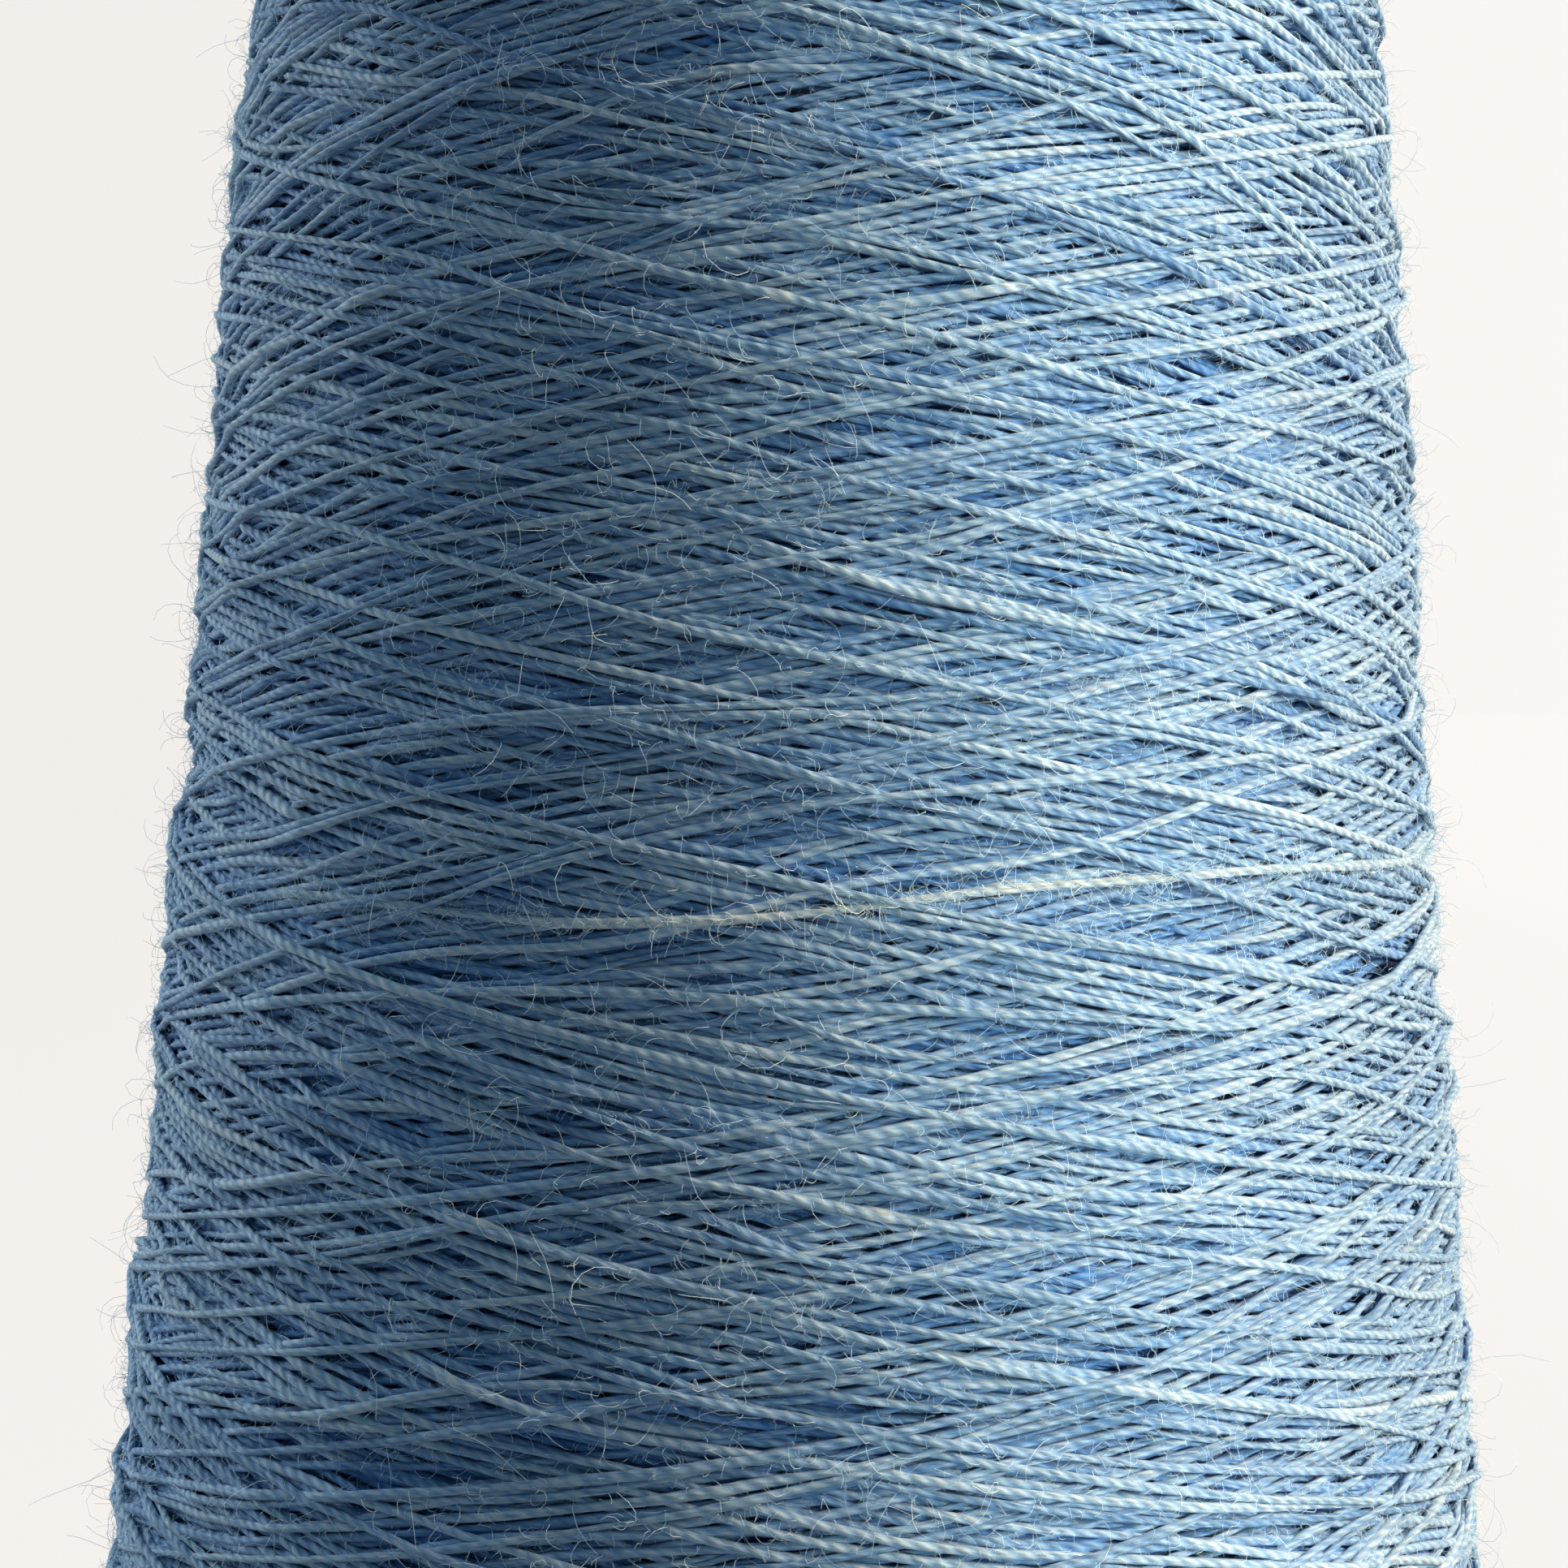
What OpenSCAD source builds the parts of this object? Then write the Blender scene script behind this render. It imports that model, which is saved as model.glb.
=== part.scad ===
// Cone of fine two-ply yarn, cross-wound on a rolled paperboard cone.
// Millimetres. The origin is on the axis at the base rim, and +Z points to the nose.

/* [Board cone] */
// Height of the board cone, from its base rim to the top of its nose
cone_h = 170; // [150:1:230]
// Half angle of the taper in degrees: 4 degrees 20 minutes is the usual one
taper_deg = 4.3333; // [3:0.1:5.5]
// Inside diameter of the board cone at its base rim
cone_bore_d = 62; // [58:0.5:72]
// Thickness of the rolled board
board_t = 2.6; // [1.8:0.1:3.6]
// Rounding of the burnished base rim
rim_r = 0.7; // [0.3:0.1:0.8]
// How far the nose is rolled in past the bore
nose_curl = 1.6; // [0.8:0.1:2.4]
// Length of the straight throat inside the rolled nose
throat_l = 4; // [3:0.5:6]
// Width of the catch notch in the base rim, which holds the first end of the yarn
notch_w = 2.4; // [1.6:0.2:3.2]
// Depth of the catch notch
notch_depth = 3.2; // [2:0.2:5]

/* [Facing sheet] */
// Thickness of the paper that faces the board
sheet_t = 0.35; // [0.2:0.05:0.6]
// Glue line between the board and the facing sheet
glue_t = 0.05; // [0.03:0.01:0.1]
// Bare board left below the sheet and under the nose
sheet_margin = 1.5; // [1:0.5:3]
// Width of the sheet's overlap, in degrees round the cone
seam_deg = 14; // [6:1:30]

/* [Wound yarn] */
// Thickness of the yarn
yarn_d = 0.6; // [0.4:0.05:0.8]
// Diameter over the last strokes, measured at the foot of the wound yarn
package_d = 102.6; // [96:0.5:120]
// Height of the wound yarn's foot above the base rim
foot_z = 10; // [8:0.5:14]
// Length of the wound yarn along the axis, on the board
wound_h = 150; // [130:1:152]
// How much shorter the outside is than the board side, at each end
end_lean = 2; // [1:0.5:4]
// Rounding of both shoulders
shoulder_r = 3; // [2:0.5:5]

/* [Last strokes] */
// Pairs of strokes in the last layer, each pair up to the top shoulder and down again
pairs = 5; // [3:1:5]
// Turns in one pair, before the drift that lays the pairs side by side
pair_turns = 5; // [3:1:5]
// Angle before and after each reversal over which the yarn curves round
reversal_deg = 20; // [12:1:24]
// Gap left for one stroke to pass over another
cross_gap = 0.5; // [0.5:0.05:0.8]

/* [Transfer tail] */
// Turns of yarn wound on the bare foot, for tying on the next cone
tail_turns = 3; // [2:1:3]
// Rise of the transfer tail in each turn
tail_pitch = 1.5; // [1.4:0.1:2]

/* [Fits] */
// Gap between a winding and what it is wound on
seat_gap = 0.3; // [0.25:0.05:0.5]
// Gap between the board's facing and the bore of the inner layers
core_gap = 0.1; // [0.05:0.05:0.3]
// Gap between a cut yarn end and the face that it points at
end_gap = 0.1; // [0.05:0.05:0.2]

/* [Hidden] */
$fn = 96;
rings = 24;
sides = 6;
arc_steps = 8;
slope = tan(taper_deg);
ring_deg = 360 / rings;

// Radii of the board cone. The nose is one round from the throat to the outer wall.
base_bore_r = cone_bore_d / 2;
base_r = base_bore_r + board_t;
throat_r = base_bore_r - cone_h * slope - nose_curl;
nose_r = (board_t + nose_curl) * cos(taper_deg) / (1 + cos(taper_deg) - sin(taper_deg));
nose_z = cone_h - nose_r;

// Radii at the base rim of what lies round the board, each tapering with it.
sheet_in = base_r + glue_t;
sheet_out = sheet_in + sheet_t;
lap_out = sheet_out + sheet_t;

// A winding's straight chords dip under the circle that their rings lie on.
dip = 1 - cos(ring_deg / 2);
lay_low = seat_gap + package_d / 2 * dip + yarn_d / 2;
lay_step = yarn_d + cross_gap;
lay_high = lay_low + lay_step;
core_foot_r = package_d / 2 - lay_high - yarn_d / 2;

// The pairs drift back by one turn in all, which spaces their reversals evenly.
layer_turns = pairs * pair_turns - 1;
strokes = pairs * 2;
stroke_deg = 360 * layer_turns / strokes;

// Both shoulders of the inner layers start at these heights, and the strokes reverse there.
low_z = foot_z + end_lean + shoulder_r;
high_z = foot_z + wound_h - end_lean - shoulder_r;
rise = (high_z - low_z) / (stroke_deg - reversal_deg);
path_low = low_z - rise * reversal_deg / 2;

// A cut end stands square to its face for one thickness and then bends along the winding.
bend_r = yarn_d * 1.4;
end_lift = end_gap + yarn_d + bend_r;

// Rings this far from a crossing, counted in rings, are lifted over it.
lift_rings = 1.15;

// The transfer tail stops under the foot of the wound yarn.
tail_lift = seat_gap + base_r * dip + yarn_d / 2;
tail_top = foot_z - end_lift;
tail_low = tail_top - tail_turns * tail_pitch;

paper_grey = [0.62, 0.60, 0.56];
sheet_cream = [0.86, 0.83, 0.76];
core_blue = [0.34, 0.47, 0.60];
yarn_blue = [0.53, 0.68, 0.80];

// ---- Sections ----

// Points of an arc about c, from angle a0 to a1.
function arc(c, r, a0, a1) =
    [for (i = [0:arc_steps]) let (a = a0 + (a1 - a0) * i / arc_steps) c + r * [cos(a), sin(a)]];

// A tapered ring's section, from radius r0 to r1 at the base rim, between two heights.
module tapered_ring(r0, r1, z0, z1) {
    polygon([
        [r0 - z0 * slope, z0],
        [r1 - z0 * slope, z0],
        [r1 - z1 * slope, z1],
        [r0 - z1 * slope, z1]
    ]);
}

// Centre of a round of radius r that touches a tapered wall at height z. The wall's radius at
// the base rim is wall_r, and side is -1 for a round inside the wall and 1 for one outside it.
function round_centre(wall_r, r, z, side) = [wall_r - z * slope + side * r / cos(taper_deg), z];

// The rolled board: round base rim, tapered wall, and a nose rolled in to a straight throat.
module board_section() {
    throat_low = nose_z - throat_l;
    bore_top = throat_low - nose_curl * 2;
    polygon(concat(
        arc(round_centre(base_bore_r, rim_r, rim_r, 1), rim_r, 180 + taper_deg, 270),
        arc(round_centre(base_r, rim_r, rim_r, -1), rim_r, 270, 360 + taper_deg),
        arc([throat_r + nose_r, nose_z], nose_r, taper_deg, 180),
        [[throat_r, throat_low], [base_bore_r - bore_top * slope, bore_top]]
    ));
}

// The inner layers: flat-wound ends that lean in, and a round at each shoulder.
module core_section() {
    bore_r = lap_out + core_gap;
    wall_r = core_foot_r + foot_z * slope;
    top_z = foot_z + wound_h;
    polygon(concat(
        [[bore_r - top_z * slope, top_z], [bore_r - foot_z * slope, foot_z]],
        arc(round_centre(wall_r, shoulder_r, low_z, -1), shoulder_r, 270, 360 + taper_deg),
        arc(round_centre(wall_r, shoulder_r, high_z, -1), shoulder_r, taper_deg, 90)
    ));
}

// The catch notch, through the rim, with a round top.
module notch() {
    top_z = notch_depth - notch_w / 2;
    rotate([0, 0, 180])
        union() {
            translate([throat_r, 0, top_z]) rotate([0, 90, 0]) cylinder(d = notch_w, h = base_r);
            translate([throat_r, -notch_w / 2, -notch_w]) cube([base_r, notch_w, top_z + notch_w]);
        }
}

// ---- Windings ----

function unit(v) = v / norm(v);

// A point t degrees round the axis, at radius r and height z.
function on_cone(t, r, z) = [r * cos(t), r * sin(t), z];

// Direction from the point p straight to the axis.
function inward(p) = -unit([p[0], p[1], 0]);

// Softens a reversal: the extra rise at x degrees from it.
function soften(x) = x < reversal_deg ? pow(reversal_deg - x, 2) / (2 * reversal_deg) : 0;

// Height of the last layer t degrees along: up in even strokes and down in odd ones.
function stroke_z(t) =
    let (n = floor(t / stroke_deg), run = t - n * stroke_deg)
    let (a = n % 2 == 0 ? run : stroke_deg - run)
    path_low + rise * (a + soften(a) - soften(stroke_deg - a));

// Degrees from t to the nearest place where its stroke n crosses the earlier stroke m.
function to_crossing(t, n, m) =
    let (twin = (m + n + 1) * stroke_deg - t, turns = (t - twin) / 360)
    turns < 0.25 ? 360 : 180 * abs(turns - round(turns));

// True where the yarn at t lies over an earlier stroke: only strokes of the other hand cross it.
function lies_over(t) =
    let (n = floor(t / stroke_deg))
    n > 0 && min([for (m = [n - 1:-2:0]) to_crossing(t, n, m)]) < lift_rings * ring_deg;

// The last layer's path, over the surface of the inner layers.
function stroke_point(t, lift) =
    let (z = stroke_z(t))
    on_cone(t, core_foot_r - (z - foot_z) * slope + lift, z);

function stroke_path() =
    let (first = 1, last = layer_turns * rings - 1)
    [for (i = [first:last])
        let (t = i * ring_deg)
        let (lift = i == first || i == last ? end_lift : lies_over(t) ? lay_high : lay_low)
        stroke_point(t, lift)];

// The transfer tail's path, round the facing sheet and clear of its overlap.
function tail_path() =
    [for (i = [0:tail_turns * rings])
        let (z = tail_low + tail_pitch * i / rings)
        on_cone(i * ring_deg, lap_out - z * slope + (i == 0 ? end_lift : tail_lift), z)];

// A bend that leaves point p along dir and turns into the way toward, then runs straight.
function bend(p, dir, toward) =
    let (c = p + bend_r * toward)
    concat(
        [for (a = [30:30:90]) c + bend_r * (sin(a) * dir - cos(a) * toward)],
        [c + bend_r * dir + yarn_d * toward]
    );

function flip(list) = [for (i = [len(list) - 1:-1:0]) list[i]];

// Straight pieces are added to a path, so that both its ends meet their faces squarely.
function with_ends(path, first_toward, last_toward) =
    let (n = len(path))
    concat(
        flip(bend(path[0], unit(path[0] - path[1]), first_toward)),
        path,
        bend(path[n - 1], unit(path[n - 1] - path[n - 2]), last_toward)
    );

// Direction of a path at its point i.
function heading(p, i) = unit(p[min(i + 1, len(p) - 1)] - p[max(i - 1, 0)]);

// The part of v that is square to the direction h.
function square_to(v, h) = unit(v - (v * h) * h);

// A side direction for each ring, carried from ring to ring so that the tube doesn't twist.
function carried(p, side) =
    [for (i = 0, s = square_to(side, heading(p, 0));
        i < len(p);
        i = i + 1, s = square_to(s, heading(p, min(i, len(p) - 1))))
        s];

// One unbroken tube of 6 sides along a path.
module tube(path, side) {
    n = len(path);
    across = carried(path, side);
    points = [for (i = [0:n - 1])
        let (s = across[i], u = cross(heading(path, i), s))
        for (k = [0:sides - 1])
            path[i] + yarn_d / 2 * (cos(360 * k / sides) * s + sin(360 * k / sides) * u)];
    walls = [for (i = [0:n - 2]) for (k = [0:sides - 1])
        let (a = i * sides + k, b = i * sides + (k + 1) % sides)
        each [[a, b + sides, b], [a, a + sides, b + sides]]];
    caps = [for (k = [1:sides - 2])
        each [[0, k, k + 1], [(n - 1) * sides, (n - 1) * sides + k + 1, (n - 1) * sides + k]]];
    polyhedron(points, concat(walls, caps), convexity = 10);
}

function clamped(x) = max(0, min(1, x));

// Least distance between the segments a-b and c-d.
function segment_gap(a, b, c, d) =
    let (u = b - a, v = d - c, w = a - c)
    let (uu = u * u, uv = u * v, vv = v * v, uw = u * w, vw = v * w)
    let (det = uu * vv - uv * uv)
    let (s0 = det < 0.000001 ? 0 : clamped((uv * vw - vv * uw) / det))
    let (t = clamped((uv * s0 + vw) / vv))
    let (s = clamped((uv * t - uw) / uu))
    norm(w + s * u - t * v);

// Least gap of a winding to itself: over every two segments of its path that lie at least
// half a turn apart along it, and that are close enough in height to come near.
function least_gap(path) =
    let (near = yarn_d * 3, apart = rings / 2, n = len(path) - 1)
    let (low = [for (i = [0:n - 1]) min(path[i][2], path[i + 1][2]) - near])
    let (high = [for (i = [0:n - 1]) max(path[i][2], path[i + 1][2])])
    let (gaps = [for (i = [0:n - 1 - apart]) for (j = [i + apart:n - 1])
        if (high[j] > low[i] && high[i] > low[j])
            segment_gap(path[i], path[i + 1], path[j], path[j + 1])])
    min(gaps) - yarn_d;

// ---- Sub-parts ----

module board_cone() {
    color(paper_grey)
        difference() {
            rotate_extrude() board_section();
            notch();
        }
}

module facing_sheet() {
    top_z = nose_z - sheet_margin;
    color(sheet_cream)
        difference() {
            union() {
                rotate_extrude() tapered_ring(sheet_in, sheet_out, sheet_margin, top_z);
                rotate([0, 0, -seam_deg / 2])
                    rotate_extrude(angle = seam_deg) tapered_ring(sheet_in, lap_out, sheet_margin, top_z);
            }
            notch();
        }
}

module transfer_tail() {
    path = tail_path();
    full = with_ends(path, inward(path[0]), [0, 0, 1]);
    echo("transfer_tail", loops = tail_turns, least_gap_mm = least_gap(full));
    color(yarn_blue)
        tube(full, [0, 0, 1]);
}

module inner_layers() {
    color(core_blue)
        rotate_extrude() core_section();
}

module last_strokes() {
    path = stroke_path();
    full = with_ends(path, inward(path[0]), inward(path[len(path) - 1]));
    echo("last_strokes", loops = (len(path) - 1) / rings, least_gap_mm = least_gap(full));
    color(yarn_blue)
        tube(full, [0, 0, 1]);
}

board_cone();
facing_sheet();
transfer_tail();
inner_layers();
last_strokes();
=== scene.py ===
"""A cone of cross-wound 2-ply yarn on its board cone, dressed over the CAD frame.

Lengths are in millimetres until they reach a mesh.
"""
import math

import bpy
import numpy as np
from mathutils import Matrix, Vector


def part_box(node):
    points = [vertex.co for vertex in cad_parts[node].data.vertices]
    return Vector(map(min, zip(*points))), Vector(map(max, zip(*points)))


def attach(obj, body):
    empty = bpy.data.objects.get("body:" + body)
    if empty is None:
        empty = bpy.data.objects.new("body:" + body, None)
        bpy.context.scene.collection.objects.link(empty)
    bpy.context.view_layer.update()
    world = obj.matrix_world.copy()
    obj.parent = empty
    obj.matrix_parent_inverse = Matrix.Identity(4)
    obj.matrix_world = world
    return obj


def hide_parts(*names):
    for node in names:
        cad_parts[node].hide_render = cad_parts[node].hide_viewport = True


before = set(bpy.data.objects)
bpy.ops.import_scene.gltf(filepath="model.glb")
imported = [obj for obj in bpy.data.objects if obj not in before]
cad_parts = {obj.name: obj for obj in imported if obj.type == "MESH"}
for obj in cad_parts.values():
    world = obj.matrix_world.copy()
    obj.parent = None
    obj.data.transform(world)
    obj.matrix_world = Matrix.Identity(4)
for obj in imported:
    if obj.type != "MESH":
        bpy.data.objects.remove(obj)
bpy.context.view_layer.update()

MM = 0.001
TAU = 2 * math.pi
rng = np.random.default_rng(11)

# ---- Sizes from the frame ----


def vertices(node):
    """A CAD node's points, in millimetres."""
    return np.array([v.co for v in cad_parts[node].data.vertices]) / MM


def straight_side(node):
    """(radius at height 0, slope) of a node's side, by its points furthest out at 3 and 6 degrees."""
    x, y, z = vertices(node).T
    r = np.hypot(x, y)
    ends = []
    for tilt in (math.radians(3), math.radians(6)):
        i = np.argmax(r * math.cos(tilt) + z * math.sin(tilt))
        ends.append((r[i], z[i]))
    (r0, z0), (r1, z1) = ends
    slope = (r0 - r1) / (z1 - z0)
    return r0 + z0 * slope, slope


def span(node):
    """(lowest, highest) height of a CAD node."""
    low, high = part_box(node)
    return low.z / MM, high.z / MM


CORE_R, SLOPE = straight_side("inner_layers")
WOUND_LOW, WOUND_HIGH = span("inner_layers")
STROKE_LOW, STROKE_HIGH = span("last_strokes")
TAIL_LOW, TAIL_HIGH = span("transfer_tail")
SHEET_R = max(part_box("facing_sheet")[1].x / MM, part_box("facing_sheet")[1].y / MM)

YARN = 0.6  # thickness of the yarn
YARN_R = YARN / 2
DRAWN_R = 0.288  # radius of the drawn yarn, whose plies stand out to YARN_R
PLY_PITCH = 2.4  # one whole turn of the two plies round each other
PILE = 2.44  # depth of the last strokes over the inner layers
SQUASH = 0.40  # what is left of the yarn's thickness where strokes cross


def core_radius(z):
    return CORE_R - z * SLOPE


# ---- The photographed view ----
# A level camera on the -Y side, shifted so that the horizon is above the frame's middle.
# Pixels are of a frame of FRAME_PX.

CAMERA_Z = 92.9
CAMERA_AWAY = 209.7
FOCAL_PX = 3472.0
FRAME_PX = 1932.0
HORIZON_ROW = 816.0
AXIS_COLUMN = 995.0  # of the cone's axis, on the horizon
ROLL = math.radians(0.763)


def strand(tone, *pixels, hue=0.5, pale=(), fuzz=1.5):
    """A strand by the pixels that it passes. pale has (column, reach, amount) for each of its pale places."""
    return {"tone": tone, "pixels": np.array(pixels, float), "hue": hue, "pale": pale, "fuzz": fuzz}


# Strands that lie on top in the photographed view.
TOP_STRANDS = [
    strand(0.62, (400, 225), (560, 265), (700, 300), (830, 338), (960, 362), (1100, 400), (1280, 445),
        (1430, 495), pale=[(960, 16, 0.7)]),
    strand(0.6, (1000, 15), (1130, 60), (1280, 110), (1400, 165), (1500, 225), (1600, 300), (1690, 390)),
    strand(0.55, (1040, 10), (1250, 60), (1380, 110), (1500, 190), (1600, 285), (1690, 365)),
    strand(0.3, (400, 240), (480, 170), (560, 120), (640, 75), (720, 40), (800, 10), hue=0.8),
    strand(0.5, (500, 310), (610, 350), (720, 390), (860, 430), (960, 450), (1100, 476), (1250, 500)),
    strand(0.35, (440, 440), (560, 392), (640, 352), (760, 310), (880, 265), (960, 228), (1100, 190),
        (1250, 145), (1380, 108), hue=0.75),
    strand(0.45, (320, 395), (440, 440), (600, 490), (720, 510), (840, 520), (960, 570)),
    strand(0.35, (500, 405), (600, 440), (720, 470), (830, 492), (960, 518), (1100, 560), (1300, 602),
        hue=0.7),
    strand(0.5, (500, 650), (640, 602), (760, 580), (900, 545), (1010, 512), (1100, 500), (1200, 476),
        (1290, 456)),
    strand(0.5, (1000, 600), (1100, 580), (1200, 552), (1300, 527), (1400, 508), (1500, 480), (1600, 445),
        (1700, 400)),
    strand(0.6, (1100, 670), (1200, 645), (1290, 618), (1400, 592), (1500, 560), (1580, 528), (1680, 470)),
    strand(0.5, (390, 640), (480, 670), (640, 713), (740, 748), (850, 778), (960, 797), (1100, 830),
        (1250, 858), (1350, 880), (1500, 906), (1700, 962)),
    strand(0.35, (400, 770), (500, 722), (600, 690), (700, 660), (800, 625), (900, 600), hue=0.75),
    strand(0.42, (300, 730), (400, 785), (480, 820), (560, 845), (700, 870), (830, 905), (960, 945),
        (1100, 985), (1250, 1015), (1400, 1052), (1500, 1100), (1680, 1165), hue=0.7),
    strand(0.45, (240, 960), (330, 930), (420, 910), (520, 895), (640, 882), (800, 873), (960, 868),
        (1100, 862), (1250, 850)),
    strand(0.5, (560, 890), (760, 885), (900, 880), (1100, 880), (1250, 888), (1400, 900), (1500, 922),
        (1600, 955), (1700, 990)),
    strand(0.3, (440, 1112), (560, 1090), (700, 1045), (800, 1012), (900, 985), (1000, 960), (1100, 926),
        (1200, 905), (1290, 886), (1400, 860), (1500, 830), (1600, 788), (1700, 720), hue=0.85),
    strand(0.4, (500, 1125), (620, 1078), (760, 1042), (900, 1012), (1000, 990)),
    strand(0.5, (210, 1252), (330, 1236), (420, 1228), (560, 1222), (700, 1222), (830, 1228), (960, 1238),
        (1100, 1246), (1250, 1251), (1400, 1258), (1500, 1274)),
    strand(0.3, (520, 1308), (620, 1335), (700, 1370), (800, 1402), (900, 1432), (1000, 1447), hue=0.7),
    strand(0.6, (960, 1366), (1130, 1365), (1290, 1350), (1400, 1336), (1500, 1325), (1600, 1322),
        (1700, 1345), (1780, 1396)),
    strand(0.4, (180, 1562), (330, 1556), (420, 1545), (500, 1526), (600, 1503), (700, 1490), (800, 1470),
        (900, 1446), (1000, 1422), (1100, 1406), (1200, 1382)),
    strand(0.5, (430, 1568), (520, 1602), (620, 1640), (700, 1662), (800, 1692), (900, 1730), (1000, 1760),
        (1100, 1784), (1250, 1812), (1400, 1835), (1600, 1852)),
    strand(0.4, (140, 1786), (240, 1791), (340, 1790), (450, 1780), (560, 1765), (700, 1745), (800, 1724),
        (900, 1702), hue=0.7),
    strand(0.62, (250, 1288), (330, 1360), (420, 1430), (500, 1475), (600, 1512), (700, 1545), (770, 1568),
        (900, 1602), (1000, 1635), (1100, 1660), (1250, 1692), (1400, 1715), (1600, 1735), hue=0.2,
        pale=[(600, 14, 0.8), (770, 18, 0.7)]),
    strand(0.62, (800, 1450), (930, 1467), (1000, 1481), (1090, 1500), (1200, 1520), (1350, 1532),
        (1500, 1551), (1620, 1566), (1750, 1600), hue=0.25, pale=[(1085, 20, 1.0)]),
    strand(0.5, (560, 1910), (700, 1890), (800, 1875), (920, 1851), (1050, 1820), (1150, 1792), (1250, 1758),
        (1330, 1728), (1430, 1680), (1500, 1636), (1600, 1580), (1700, 1500)),
    strand(0.25, (455, 5), (560, 45), (700, 95), (830, 122), (960, 155), (1090, 197), (1250, 246),
        (1400, 302), (1560, 385), (1690, 470), hue=1.0),
    strand(0.8, (330, 1098), (470, 1113), (560, 1130), (700, 1141), (800, 1138), (900, 1133), (1000, 1128),
        (1100, 1113), (1200, 1101), (1300, 1093), (1400, 1087), (1560, 1071), (1750, 1062), hue=0.1,
        pale=[(1100, 420, 1.0)], fuzz=14.0),
]


def on_crest(pixel):
    """(angle round the axis, height) where the ray through a pixel meets the crest of the pile."""
    u, v = pixel[0] - AXIS_COLUMN, HORIZON_ROW - pixel[1]
    u, v = u * math.cos(ROLL) - v * math.sin(ROLL), u * math.sin(ROLL) + v * math.cos(ROLL)
    radius = core_radius(CAMERA_Z) + PILE
    a = u * u + FOCAL_PX**2 - (SLOPE * v) ** 2
    b = SLOPE * v * radius - CAMERA_AWAY * FOCAL_PX
    c = CAMERA_AWAY**2 - radius**2
    t = (-b - math.sqrt(max(b * b - a * c, 0))) / a
    return math.atan2(FOCAL_PX * t - CAMERA_AWAY, u * t), CAMERA_Z + v * t


# ---- Laying the strokes ----
# The pile's height over the inner layers is a grid: COLS columns round the cone and rows up it.

COLS = 1440
ROW = 0.1
GRID_LOW = WOUND_LOW - 2
ROWS = int((WOUND_HIGH - WOUND_LOW + 4) / ROW)
TURNS = 2.4  # of one stroke, from end to end
BASE = -1.6  # where the first strokes lie
STROKES = 480
FREE = 36  # the last strokes, laid as they come
MOST_TOP = 24  # strokes that may be spent on the top strands
FRONT = math.radians(-90)  # the photographed side
ROUND = 10  # strokes until the next one of a bundle lies beside the first
BESIDE = 0.66  # spacing of the strokes of a bundle
WAYS = 13  # places tried for each bundle, which takes the lowest
TURN_BACK = COLS // 20  # samples over which a stroke turns back
END_SPREAD = 8.0  # how far short of the end a stroke may turn back
CREST_STEP = 8  # columns and rows to a cell of the map of crests
SHOULDER = 7.0  # length of the package's rounded shoulders
NEAR_ENOUGH = 15  # millimetres from a top strand at which a stroke may still be drawn to it
REACH = 12  # rows that a stroke may slip sideways
DRAPE = 0.049  # how sharply the yarn bends down between what it lies on, 1 / mm
FADE = 0.15 * COLS  # over how many samples a stroke's sway sets in
HALF = np.arange(-3, 4) * ROW  # across the yarn
PROFILE = SQUASH * np.sqrt(np.maximum(YARN_R**2 - HALF**2, 0))


def smooth(a, width):
    """a smoothed with a rounded window of that many samples."""
    k = np.hanning(width + 2)[1:-1]
    k /= k.sum()
    return np.convolve(np.pad(a, (width // 2, width - 1 - width // 2), mode="edge"), k, mode="valid")


def wander(count, step, size):
    """A slow random line of count samples, with a new value every step samples."""
    knots = int(count / step) + 4
    at = np.arange(knots) * step - rng.uniform(0, step)
    return np.interp(np.arange(count), at, rng.normal(size=knots) * size)


def upper_hull(s, y):
    """Indices of the points that a string pulled tight over (s, y) touches."""
    hull = []
    s, y = s.tolist(), y.tolist()
    for i in range(len(s)):
        while len(hull) > 1:
            a, b = hull[-2], hull[-1]
            if (y[b] - y[a]) * (s[i] - s[a]) > (y[i] - y[a]) * (s[b] - s[a]):
                break
            hull.pop()
        hull.append(i)
    return hull


def rows_of(z, reach):
    """Rows of the heights z, kept reach rows inside the grid."""
    return np.clip(((z - GRID_LOW) / ROW).astype(int), reach, ROWS - reach - 1)


def stroke_height(count, start, end):
    """Heights of one stroke from end to end, softened where it turns back."""
    i = np.arange(count + 1)
    first = np.maximum(TURN_BACK - i, 0) ** 2 / (2 * TURN_BACK)
    last = np.maximum(TURN_BACK - (count - i), 0) ** 2 / (2 * TURN_BACK)
    return start + (end - start) * (i + first - last) / count


def lowest_jump(grid, col, low, high, up):
    """How many turns to go on before the next bundle, so that it lies over the lowest of the pile."""
    tries = np.linspace(-0.1, 0.1, WAYS) + rng.normal(0, 0.004, WAYS)
    step = int(TURNS * COLS)
    piled = np.zeros(WAYS)
    for k in range(ROUND):
        start, end = (low, high) if up == (k % 2 == 0) else (high, low)
        z = stroke_height(step, start, end)[::6]
        row = rows_of(z, 4)
        for n, jump in enumerate(tries):
            cols = (col + int(jump * COLS) + k * step + np.arange(step + 1)[::6]) % COLS
            under = np.maximum(grid[cols, row - 3], grid[cols, row + 3])
            piled[n] += np.mean(under**2 * np.sign(under) + under)
    return tries[int(np.argmin(piled))]


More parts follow.
